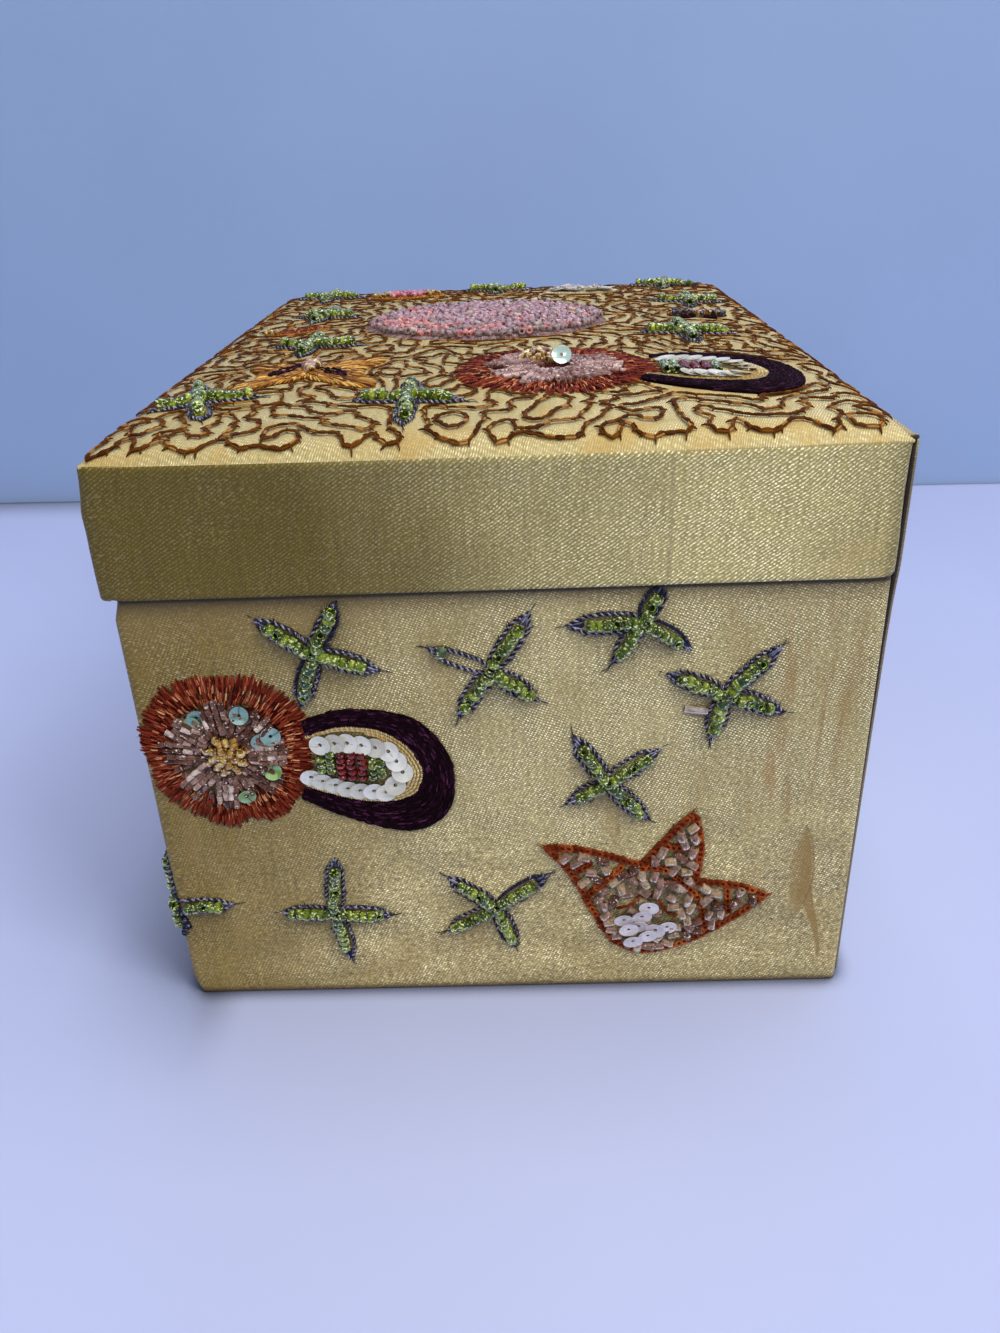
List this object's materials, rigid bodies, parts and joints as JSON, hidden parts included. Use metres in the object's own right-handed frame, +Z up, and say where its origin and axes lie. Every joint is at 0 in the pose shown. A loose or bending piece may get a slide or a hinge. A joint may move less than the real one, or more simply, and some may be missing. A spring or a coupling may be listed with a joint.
{
  "type": "beaded jewelry box",
  "caption": "Rectangular satin-covered card jewelry box with a padded, embroidered and beaded lid hinged along one long side over a lined compartment.",
  "frame": {"origin": "centre of the underside, on the surface the box stands on", "axes": "+Z up; -Y is the short end with the flower, the paisley and the rosebud (the pictured face); +X is the hinge side; the long sides run along Y"},
  "size_m": [0.1545, 0.2062, 0.1365],
  "materials": {
    "underside_cloth": "plain brown-gold covering cloth",
    "card": "grey-brown bookbinder's card",
    "gold_satin": "gold satin with a fine diagonal twill, water stains and streaks",
    "band_satin": "gold satin, plain",
    "panel_satin": "gold satin, plain",
    "embroidered_satin": "gold satin under brown chain stitch",
    "lining_satin": "gold lining satin",
    "pad_satin": "padded gold lining satin",
    "wadding": "white polyester wadding",
    "green_beads": "olive-green silver-lined seed beads, navy and silver thread",
    "rust_thread": "rust-red satin stitch with clear pink bugle beads",
    "purple_thread": "dark purple satin stitch with white sequins",
    "rosebud_beads": "rust chain stitch filled with pinkish clear beads",
    "orange_thread": "orange-gold satin stitch",
    "pink_beads": "pink and lilac clear bugle beads",
    "red_beads": "red and gold seed beads",
    "white_sequins": "pearly white sequins"
  },
  "bodies": {
    "base": {"back_flower": "rust_thread", "back_star_1": "green_beads", "back_star_2": "green_beads", "back_star_3": "green_beads", "base_back_board": "card", "base_cover": "gold_satin", "base_floor_board": "card", "base_front_board": "card", "base_left_board": "card", "base_right_board": "card", "base_underside": "underside_cloth", "floor_pad": "pad_satin", "front_flower": "rust_thread", "front_paisley": "purple_thread", "front_rosebud": "rosebud_beads", "front_star_1": "green_beads", "front_star_2": "green_beads", "front_star_3": "green_beads", "front_star_4": "green_beads", "front_star_5": "green_beads", "front_star_6": "green_beads", "front_star_7": "green_beads", "front_star_8": "green_beads", "hinge_cloth": "panel_satin", "hinge_panel_board": "card", "hinge_panel_cover": "panel_satin", "left_rosebud": "rosebud_beads", "left_star_1": "green_beads", "left_star_2": "green_beads", "left_star_3": "green_beads", "lining_back": "lining_satin", "lining_front": "lining_satin", "lining_left": "lining_satin", "lining_right": "lining_satin"},
    "lid": {"lid_back_skirt_board": "card", "lid_bead_cluster": "red_beads", "lid_bead_oval": "pink_beads", "lid_butterfly": "orange_thread", "lid_dark_sprig": "purple_thread", "lid_flower": "rust_thread", "lid_front_skirt_board": "card", "lid_left_skirt_board": "card", "lid_lining": "lining_satin", "lid_padding": "wadding", "lid_paisley": "purple_thread", "lid_sequin_spray": "white_sequins", "lid_skirt_band": "band_satin", "lid_small_leaf": "rust_thread", "lid_star_1": "green_beads", "lid_star_2": "green_beads", "lid_star_3": "green_beads", "lid_star_4": "green_beads", "lid_star_5": "green_beads", "lid_star_6": "green_beads", "lid_star_7": "green_beads", "lid_star_8": "green_beads", "lid_star_9": "green_beads", "lid_top_board": "card", "lid_top_cover": "embroidered_satin"}
  },
  "joints": [
    {"name": "lid_hinge", "type": "hinge", "parent": "base", "child": "lid", "pos_m": [0.0774, 0, 0.1289], "axis": [0, 1, 0], "range_deg": [0, 105]}
  ]
}
